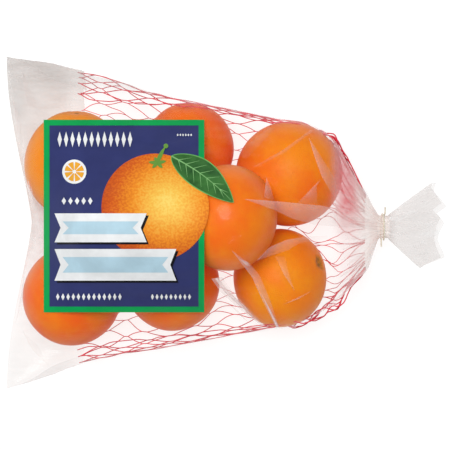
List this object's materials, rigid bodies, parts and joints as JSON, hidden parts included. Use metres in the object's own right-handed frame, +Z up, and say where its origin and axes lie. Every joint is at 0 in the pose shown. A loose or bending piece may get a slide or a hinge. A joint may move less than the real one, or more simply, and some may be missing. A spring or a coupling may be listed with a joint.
{
  "type": "bag of oranges",
  "caption": "Clear film and red net produce bag, packed with round oranges, heat sealed at one end and gathered with a wire tie at the other.",
  "frame": {"origin": "centre of the bounding box's underside, on the surface that the bag lies on", "axes": "+X runs along the bag from the flat seal to the tail behind the tie, +Y across the bag, +Z up, out of the printed side"},
  "size_m": [0.347, 0.262, 0.1249],
  "materials": {
    "film": "clear thin glossy film, creased",
    "tie": "pale coated wire",
    "net": "red extruded net thread",
    "print": "opaque ink printed on film",
    "peel": "waxy dimpled orange peel"
  },
  "bodies": {
    "root": {"bag": "film", "tie": "tie"}
  },
  "joints": []
}
